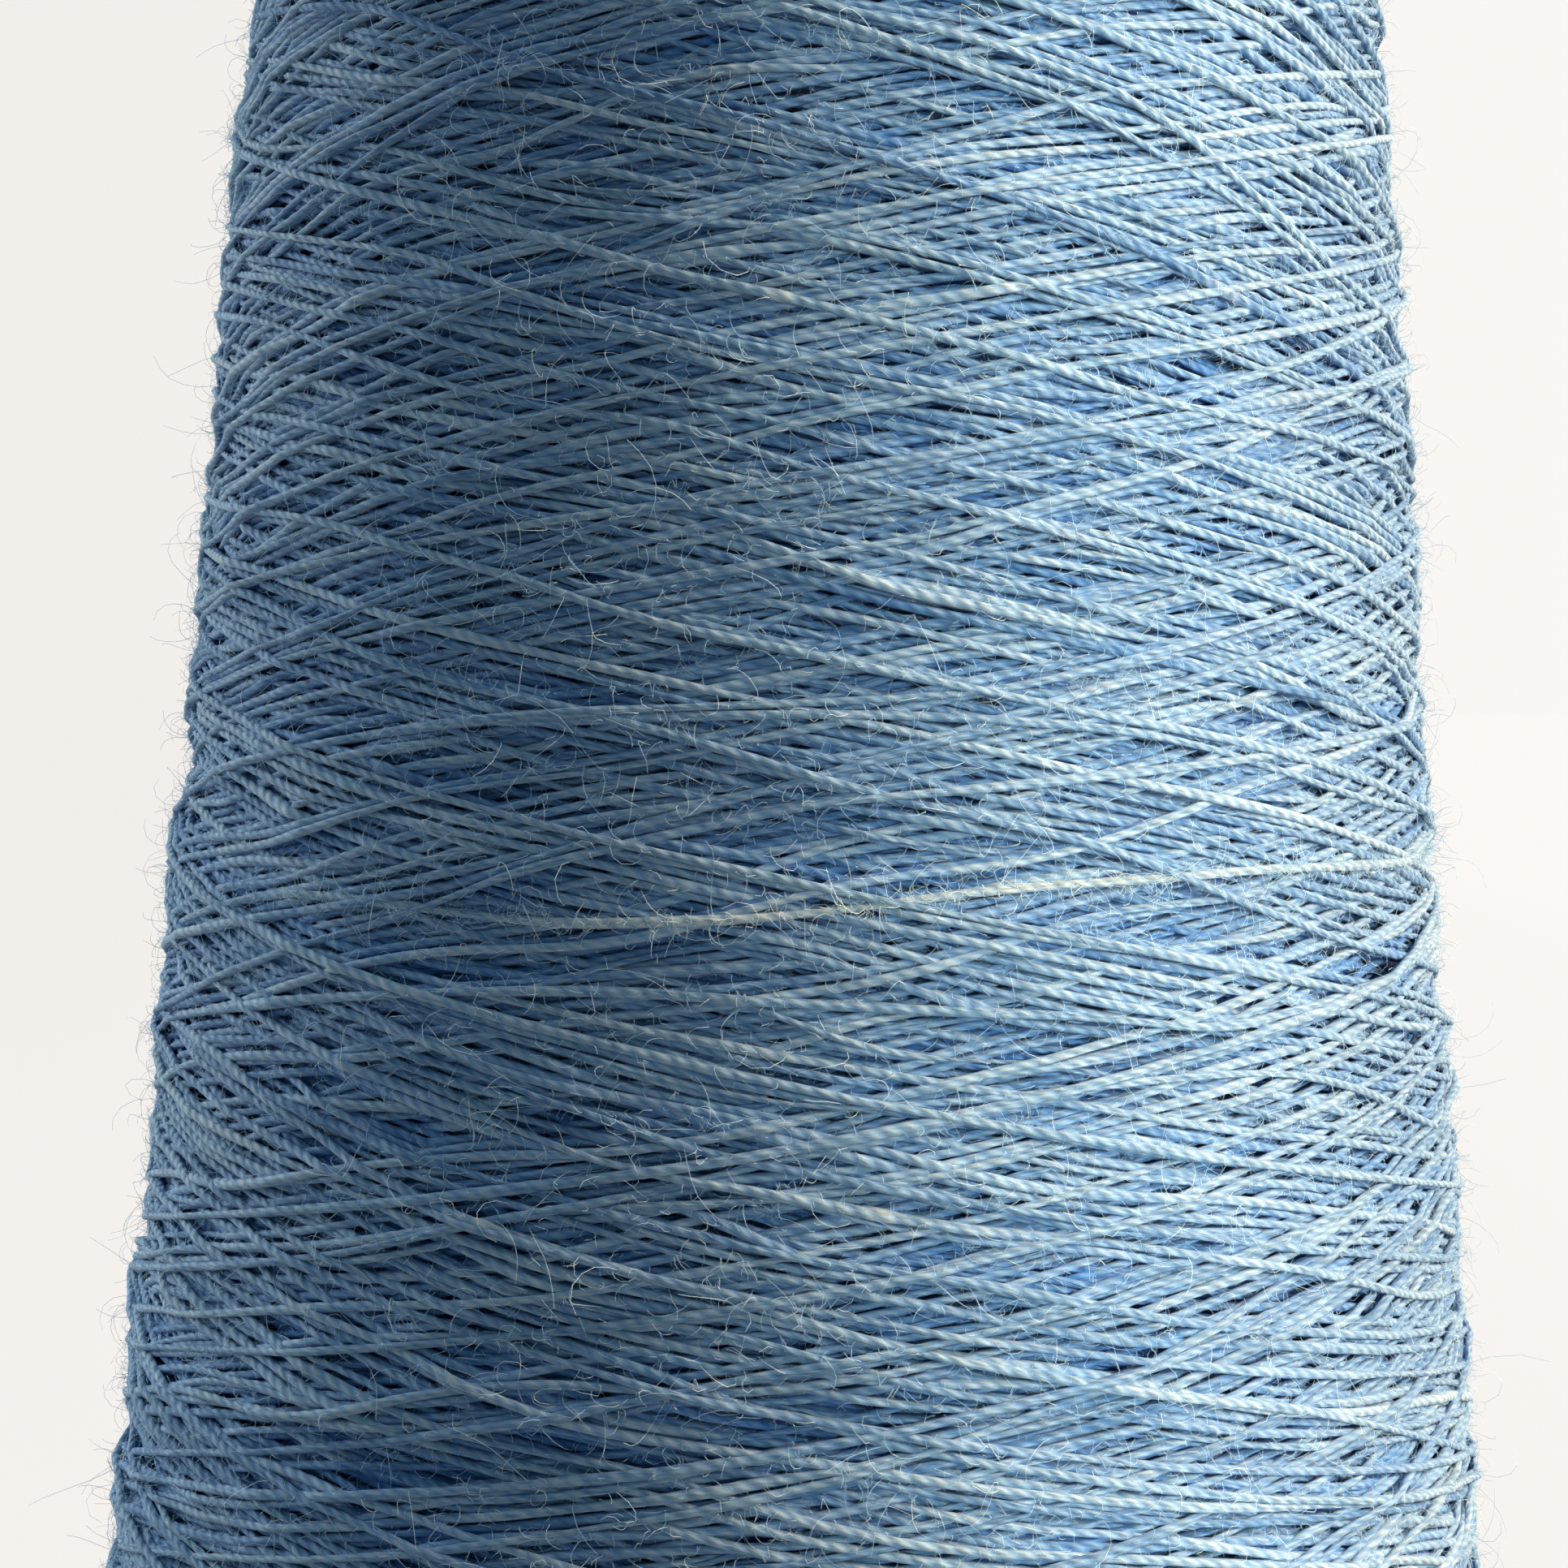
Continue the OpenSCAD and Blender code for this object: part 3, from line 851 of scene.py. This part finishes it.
def turned_back(low):
    """The yarn on an end of the package, where strokes turned back: short arcs that dip in at both ends."""
    yarn = Yarn()
    radii, depths, into, face = end_outline(low)
    run = np.concatenate([[0], np.cumsum(np.hypot(np.diff(radii), np.diff(depths)))])
    for place in np.arange(0, run[-1], 0.40):
        arcs = 9
        shift = rng.uniform(0, TAU)
        r, depth = np.interp(place, run, radii), np.interp(place, run, depths)
        nearby = (place - 0.5, place + 0.5)
        ahead = [np.diff(np.interp(nearby, run, line))[0] for line in (radii, depths)]
        out = np.array([ahead[1], -ahead[0]]) / max(math.hypot(*ahead), 1e-6)
        for k in range(arcs):
            reach = math.radians(rng.uniform(22, 30))
            t = np.linspace(-reach, reach, 14)
            middle = shift + TAU * k / arcs + rng.normal(0, 0.12)
            bow = (t / reach) ** 2
            stray = rng.normal(0, 0.12) + 0.5 * rng.normal() * t + 0.8 * bow * abs(rng.normal())
            lift = 0.12 - abs(rng.normal(0, 0.10)) - 0.9 * bow
            radius = r + stray * ahead[0] + lift * out[0]
            z = face + into * (depth + stray * ahead[1] + lift * out[1])
            centre = np.stack([radius * np.cos(middle + t), radius * np.sin(middle + t), z], axis=1)
            along = np.concatenate([[0], np.cumsum(np.linalg.norm(np.diff(centre, axis=0), axis=1))])
            linked = np.append(np.ones(len(t) - 1, bool), False)
            values = plain_values(len(t), rng.normal(0.5, 0.15), rng.normal(0.5, 0.2))
            yarn.add(centre, along, np.full(len(t), YARN_R), values, linked, 5)
    return yarn.finish("turned_back_yarn_foot" if low else "turned_back_yarn_nose")


def tail_piece():
    """The transfer tail: the first of the yarn, from the catch notch round the foot and into the package."""
    x, y, z = vertices("transfer_tail").T
    r = np.hypot(x, y)
    widest = np.argmax(r + z * SLOPE)
    lay = r[widest] + z[widest] * SLOPE - YARN_R
    low, high = TAIL_LOW + YARN_R, TAIL_HIGH - 1.0
    turns = 3
    first = math.atan2(y[np.argmin(z)], x[np.argmin(z)])
    angle = np.linspace(0, turns * TAU + 0.5, 640)
    height = low + (min(high, low + 4.6) - low) * angle / (turns * TAU)
    height = height + np.clip(angle - turns * TAU + 0.25, 0, 1) ** 2 * 7
    sink = 1.2 * np.clip(1 - angle / 0.06, 0, 1) ** 2
    radius = lay - height * SLOPE - sink
    centre = np.stack([radius * np.cos(first + angle), radius * np.sin(first + angle), height], axis=1)
    along = np.concatenate([[0], np.cumsum(np.linalg.norm(np.diff(centre, axis=0), axis=1))])
    t = np.arange(0, along[-1], 0.45)
    centre = np.stack([np.interp(t, along, centre[:, k]) for k in range(3)], axis=1)
    yarn = Yarn()
    linked = np.append(np.ones(len(t) - 1, bool), False)
    thick = YARN_R * (1 + 0.06 * rng.normal(size=len(t)))
    yarn.add(centre, t, thick, plain_values(len(t), 0.5, 0.5), linked, 7)
    return yarn.finish("transfer_tail_yarn")


# ---- Materials ----


class Nodes:
    """The nodes of a material or world, with short ways to add and link them."""

    def __init__(self, owner, output="ShaderNodeOutputMaterial"):
        owner.use_nodes = True
        self.owner = owner
        self.tree = owner.node_tree
        self.tree.nodes.clear()
        self.output = self.add(output)

    def add(self, kind, inputs=None, **settings):
        node = self.tree.nodes.new(kind)
        for key, value in settings.items():
            setattr(node, key, value)
        for key, value in (inputs or {}).items():
            self.feed(node.inputs[key], value)
        return node

    def feed(self, socket, value):
        """Links a socket's value, or sets it when it is a number or a colour."""
        if isinstance(value, bpy.types.NodeSocket):
            self.tree.links.new(value, socket)
        elif socket.type == "RGBA":
            socket.default_value = (*value, 1)
        else:
            socket.default_value = value

    def math(self, operation, a, b=None):
        inputs = {0: a} if b is None else {0: a, 1: b}
        return self.add("ShaderNodeMath", inputs, operation=operation).outputs[0]

    def weigh(self, *parts):
        """The sum of values, each times its weight."""
        total = None
        for value, weight in parts:
            part = value if weight == 1 else self.math("MULTIPLY", value, weight)
            total = part if total is None else self.math("ADD", total, part)
        return total

    def map(self, value, low, high, to_low=0.0, to_high=1.0, **settings):
        inputs = {"Value": value, "From Min": low, "From Max": high, "To Min": to_low, "To Max": to_high}
        return self.add("ShaderNodeMapRange", inputs, **settings).outputs[0]

    def noise(self, place, scale, detail, roughness=0.5):
        inputs = {"Vector": place, "Scale": scale, "Detail": detail, "Roughness": roughness}
        return self.add("ShaderNodeTexNoise", inputs).outputs["Fac"]

    def bump(self, height, strength, distance):
        inputs = {"Height": height, "Strength": strength, "Distance": distance}
        return self.add("ShaderNodeBump", inputs).outputs[0]

    def join(self, x, y=0.0, z=0.0):
        return self.add("ShaderNodeCombineXYZ", {0: x, 1: y, 2: z}).outputs[0]

    def split(self, vector):
        return self.add("ShaderNodeSeparateXYZ", {0: vector}).outputs

    def place(self, kind="Object"):
        return self.add("ShaderNodeTexCoord").outputs[kind]

    def attribute(self, name):
        return self.add("ShaderNodeAttribute", attribute_name=name).outputs["Fac"]

    def ramp(self, value, *stops):
        """A colour ramp over value, from (place, colour) stops."""
        node = self.add("ShaderNodeValToRGB", {"Fac": value})
        points = node.color_ramp.elements
        while len(points) < len(stops):
            points.new(0.5)
        for point, (place, colour) in zip(points, stops):
            point.position = place
            point.color = (*colour, 1)
        return node.outputs["Color"]

    def mix(self, factor, a, b, blend="MIX"):
        inputs = {0: factor, 6: a, 7: b}
        return self.add("ShaderNodeMix", inputs, data_type="RGBA", blend_type=blend).outputs[2]

    def times(self, factor, colour, by):
        """colour, with so much of it multiplied by another colour."""
        return self.mix(factor, colour, self.mix(1.0, colour, by, "MULTIPLY"))

    def finish(self, shader):
        self.tree.links.new(shader, self.output.inputs["Surface"])
        return self.owner

    def surface(self, colour, bump=None, **sockets):
        inputs = {"Base Color": colour}
        if bump is not None:
            inputs["Normal"] = bump
        inputs.update({key.replace("_", " "): value for key, value in sockets.items()})
        return self.finish(self.add("ShaderNodeBsdfPrincipled", inputs).outputs[0])


def material_nodes(name):
    return Nodes(bpy.data.materials.new(name))


def yarn_material():
    """Two plies of soft blue fibre, streaked along the fibres, with painted shade darkening the groove between
    the plies.

    Its tone, hue, pale stretches and depth in the pile come with the mesh; the depth darkens and blues the
    colour as painted shade.
    """
    n = material_nodes("blue_two_ply_yarn")
    along, around, _ = n.split(n.add("ShaderNodeUVMap", uv_map="strand").outputs["UV"])
    slow = n.noise(n.join(along), 0.35, 2.0)
    lobe = n.math("COSINE", n.weigh((around, 2 * TAU), (slow, 5.0)))
    lie = n.math("MULTIPLY", n.weigh((around, 1), (along, 0.85 / PLY_PITCH)), TAU)
    x, y, z = n.math("MULTIPLY", along, 0.18), n.math("COSINE", lie), n.math("SINE", lie)
    fibre = n.noise(n.join(x, n.math("MULTIPLY", y, 0.55), n.math("MULTIPLY", z, 0.55)), 2.4, 4.0, 0.7)
    tone = n.weigh((n.attribute("tone"), 1), (n.math("SUBTRACT", fibre, 0.5), 2.5))
    blue = n.ramp(
        tone,
        (0.0, (0.11, 0.25, 0.46)),
        (0.45, (0.26, 0.42, 0.59)),
        (0.75, (0.34, 0.50, 0.65)),
        (1.0, (0.40, 0.54, 0.66)),
    )
    deep = n.ramp(tone, (0.0, (0.09, 0.20, 0.40)), (0.6, (0.24, 0.41, 0.64)), (1.0, (0.40, 0.56, 0.72)))
    grey = n.ramp(tone, (0.0, (0.14, 0.26, 0.40)), (0.6, (0.31, 0.46, 0.60)), (1.0, (0.42, 0.56, 0.68)))
    hue = n.attribute("hue")
    colour = n.mix(n.map(hue, 0.4, -0.1), n.mix(n.map(hue, 0.55, 1.1), blue, deep), grey)
    pale = n.math("MULTIPLY", n.attribute("pale"), n.map(fibre, 0.3, 0.6, 0.5))
    colour = n.mix(pale, colour, (0.51, 0.61, 0.66))
    # Painted shade: the groove between the plies is darkened and tinted blue in the colour.
    colour = n.times(n.map(lobe, -1.0, 0.4, 0.75, 0.0), colour, (0.50, 0.70, 0.92))
    # Painted shade: strokes that lie deep under the crests round them are darkened and tinted blue in the
    # colour.
    colour = n.times(n.attribute("deep"), colour, (0.42, 0.69, 1.0))
    bump = n.bump(n.weigh((lobe, 0.45), (fibre, 1.2)), 0.9, 0.0001)
    gloss = {"Roughness": 0.75, "Specular_IOR_Level": 0.10}
    return n.surface(colour, bump, **gloss, Sheen_Weight=0.08, Sheen_Roughness=0.4)


def core_material():
    """The inner layers, seen down the gaps: flat strands side by side, in the yarn's blue darkened as painted
    shade.
    """
    n = material_nodes("inner_layers_yarn")
    place = n.place()
    x, y, z = n.split(place)
    lean = n.weigh((z, 1.0 / MM), (n.math("ARCTAN2", y, x), 9.5))
    strand_wave = n.math("COSINE", n.math("MULTIPLY", lean, TAU / 0.62))
    value = n.weigh((strand_wave, 0.28), (n.noise(place, 900.0, 3.0), 1))
    # Painted shade: these colours are darker than the yarn's own blue, because the core shows only at the
    # bottom of the gaps.
    colour = n.ramp(value, (0.2, (0.05, 0.11, 0.21)), (0.6, (0.16, 0.30, 0.47)), (0.9, (0.22, 0.39, 0.57)))
    return n.surface(colour, n.bump(value, 0.8, 0.0002), Roughness=0.75, Specular_IOR_Level=0.2)


def fibre_material():
    """Loose single fibres, almost without colour."""
    n = material_nodes("loose_fibre")
    tone = n.attribute("tone")
    colour = n.ramp(tone, (0.0, (0.38, 0.64, 0.92)), (0.5, (0.54, 0.81, 1.0)), (1.0, (0.72, 0.93, 1.0)))
    return n.surface(colour, None, Roughness=0.7, Specular_IOR_Level=0.1)


def board_material():
    """Grey board, rolled in plies, with flecks of fibre."""
    n = material_nodes("wound_grey_board")
    place = n.place()
    fleck = n.noise(place, 1400.0, 5.0, 0.7)
    stretched = n.add("ShaderNodeMapping", {"Vector": place, "Scale": (1.0, 1.0, 0.12)}).outputs[0]
    value = n.weigh((fleck, 0.5), (n.noise(place, 60.0, 3.0), 0.5))
    colour = n.ramp(value, (0.3, (0.34, 0.31, 0.27)), (0.5, (0.50, 0.47, 0.41)), (0.7, (0.60, 0.56, 0.49)))
    bump = n.bump(n.weigh((n.noise(stretched, 700.0, 3.0), 1), (fleck, 1)), 0.35, 0.0001)
    return n.surface(colour, bump, Roughness=0.82, Specular_IOR_Level=0.25)


def paper_material():
    """Smooth cream facing paper, faintly mottled."""
    n = material_nodes("cream_facing_paper")
    place = n.place()
    fine = n.noise(place, 1800.0, 4.0)
    value = n.weigh((fine, 0.4), (n.noise(place, 90.0, 2.0), 0.6))
    colour = n.ramp(value, (0.3, (0.66, 0.63, 0.55)), (0.7, (0.76, 0.73, 0.65)))
    return n.surface(colour, n.bump(fine, 0.25, 0.00005), Roughness=0.6, Specular_IOR_Level=0.3)


def floor_material():
    """A plain pale floor, which takes the object's shadow close by and looks like the backdrop far off."""
    n = material_nodes("pale_floor")
    place = n.place()
    x, y, _ = n.split(place)
    away = n.add("ShaderNodeVectorMath", {0: n.join(x, y)}, operation="LENGTH").outputs["Value"]
    far = n.map(away, 0.066, 0.102, interpolation_type="SMOOTHSTEP")
    near = n.ramp(n.noise(place, 300.0, 2.0), (0.0, (0.505, 0.59, 0.685)), (1.0, (0.535, 0.62, 0.715)))
    # What the floor throws back on the object is kept low, so that the side away from the key stays dark.
    lit = n.mix(n.add("ShaderNodeLightPath").outputs["Is Diffuse Ray"], near, (0.24, 0.27, 0.31))
    diffuse = n.add("ShaderNodeBsdfDiffuse", {"Color": lit}).outputs[0]
    glow = n.add("ShaderNodeEmission", {"Color": backdrop_colour(n, x), "Strength": 1.0}).outputs[0]
    seen = n.math("MULTIPLY", far, backdrop_rays(n))
    return n.finish(n.add("ShaderNodeMixShader", {0: seen, 1: diffuse, 2: glow}).outputs[0])


def backdrop_colour(n, across):
    """The backdrop's off-white, a little darker on the left."""
    value = n.map(across, -0.3, 0.3)
    return n.ramp(value, (0.0, (0.885, 0.855, 0.825)), (0.5, (0.92, 0.89, 0.86)), (1.0, (0.97, 0.94, 0.91)))


def backdrop_rays(n):
    """1 for the rays that are to find the backdrop white: from the camera, from gloss and through glass."""
    path = n.add("ShaderNodeLightPath").outputs
    either = n.math("MAXIMUM", path["Is Camera Ray"], path["Is Glossy Ray"])
    return n.math("MAXIMUM", either, path["Is Transmission Ray"])


# ---- Stage ----


def set_world(strength):
    """Soft light from all round, and the off-white backdrop for the camera."""
    world = bpy.data.worlds.new("studio")
    bpy.context.scene.world = world
    n = Nodes(world, "ShaderNodeOutputWorld")
    x, _, _ = n.split(n.place("Generated"))
    light = n.add("ShaderNodeBackground", {"Color": (0.43, 0.76, 0.89), "Strength": strength}).outputs[0]
    seen = n.add("ShaderNodeBackground", {"Color": backdrop_colour(n, x), "Strength": 1.0}).outputs[0]
    n.finish(n.add("ShaderNodeMixShader", {0: backdrop_rays(n), 1: light, 2: seen}).outputs[0])


def add_lamp(name, direction, distance, width, power, colour, height=None, spread=180):
    """A soft lamp that looks at the middle of the cone, with its light kept within the spread.

    The direction is (azimuth, elevation) in degrees, with azimuth 0 over the camera and 90 to its right.
    """
    lamp = bpy.data.lights.new(name, "AREA")
    lamp.shape = "RECTANGLE"
    lamp.size = width
    lamp.size_y = height or width
    lamp.spread = math.radians(spread)
    lamp.energy = power
    lamp.color = colour
    obj = bpy.data.objects.new(name, lamp)
    bpy.context.scene.collection.objects.link(obj)
    a, e = (math.radians(angle) for angle in direction)
    away = Vector((math.sin(a) * math.cos(e), -math.cos(a) * math.cos(e), math.sin(e)))
    obj.location = Vector((0, 0, 0.085)) + away * distance
    obj.rotation_euler = away.to_track_quat("Z", "Y").to_euler()


def add_floor():
    size = 6.0
    corners = np.array([(-1, -1, 0), (1, -1, 0), (1, 1, 0), (-1, 1, 0)]) * size / MM
    floor = build_mesh("floor", corners, np.array([[0, 1, 2, 3]]))
    floor.data.materials.append(floor_material())


def add_camera():
    """A level camera on the photographed side, a little above half height, close in."""
    data = bpy.data.cameras.new("camera")
    data.sensor_fit = "HORIZONTAL"
    data.sensor_width = 36.0
    data.lens = FOCAL_PX / FRAME_PX * 36.0
    data.shift_x = (FRAME_PX / 2 - AXIS_COLUMN) / FRAME_PX
    data.shift_y = -(FRAME_PX / 2 - HORIZON_ROW) / FRAME_PX
    data.clip_start = 0.01
    data.clip_end = 20.0
    camera = bpy.data.objects.new("camera", data)
    bpy.context.scene.collection.objects.link(camera)
    turn = Matrix.Rotation(math.radians(90), 4, "X") @ Matrix.Rotation(ROLL, 4, "Z")
    camera.matrix_world = Matrix.Translation((0, -CAMERA_AWAY * MM, CAMERA_Z * MM)) @ turn
    bpy.context.scene.camera = camera


# ---- Making ----


def dress(piece, material, slot, *nodes):
    piece.data.materials.clear()
    piece.data.materials.append(material)
    if nodes:
        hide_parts(*nodes)
        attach(piece, "root")


def revolved(name, section, columns):
    """A mesh turned round the axis from (radius, height) points."""
    section = np.array(section)
    turn = np.arange(columns)[:, None] * TAU / columns
    radius, height = section[None, :, 0], section[None, :, 1]
    co = np.stack([radius * np.cos(turn), radius * np.sin(turn), np.repeat(height, columns, 0)], axis=-1)
    m = len(section)
    i = np.arange(columns)[:, None]
    j = np.arange(m)[None, :]
    a, b = i * m + j, ((i + 1) % columns) * m + j
    a2, b2 = i * m + (j + 1) % m, ((i + 1) % columns) * m + (j + 1) % m
    quads = np.stack([a, b, b2, a2], axis=-1).reshape(-1, 4)
    return build_mesh(name, co.reshape(-1, 3), quads)


def core_section_points():
    """The inner layers' section: the CAD node's own points, halved round the axis, with the shoulders."""
    x, y, z = vertices("inner_layers").T
    r = np.hypot(x, y)
    pairs = sorted({(round(float(a), 2), round(float(b), 2)) for a, b in zip(r, z)})
    pairs = np.array(pairs)
    middle = pairs.mean(axis=0)
    order = np.argsort(np.arctan2(pairs[:, 1] - middle[1], (pairs[:, 0] - middle[0]) * 6))
    return pairs[order]


grid, strokes = lay_strokes()
yarn_look = yarn_material()
add_camera()
core = revolved("inner_layers_core", core_section_points(), 180)
dress(core, core_material(), "inner_thread", "inner_layers")
for low in (True, False):
    dress(turned_back(low), yarn_look, "inner_thread", "inner_layers")
for piece in stroke_pieces(grid, strokes):
    dress(piece, yarn_look, "thread", "last_strokes")
dress(tail_piece(), yarn_look, "thread", "transfer_tail")
fibre_look = fibre_material()
short_fibres = loose_fibres("short_fibres", strokes, count=40000, joints=3, longest=2.2, typical=1.2)
long_fibres = loose_fibres("long_fibres", strokes, count=12000, joints=6, longest=6.5, typical=2.8)
for piece in short_fibres + long_fibres:
    dress(piece, fibre_look, "thread", "last_strokes")
for node, look in (("board_cone", board_material()), ("facing_sheet", paper_material())):
    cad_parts[node].data.materials.clear()
    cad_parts[node].data.materials.append(look)

add_floor()
set_world(0.170)
add_lamp("key", (83, 26), distance=0.9, width=0.55, power=25.4, colour=(1.0, 0.71, 0.475))
strip_colour = (0.92, 0.95, 0.80)
add_lamp("gridded_strip", (30, 7), 0.6, width=0.02, height=0.6, spread=6.2, power=0.064, colour=strip_colour)
add_lamp("overhead", (0, 85), distance=1.0, width=0.8, power=2.0, colour=(0.8, 0.9, 1.0))
add_lamp("bounce", (-118, 15), distance=0.9, width=0.6, power=8.3, colour=(1.0, 0.93, 0.82))
bpy.context.scene.view_settings.view_transform = "Standard"
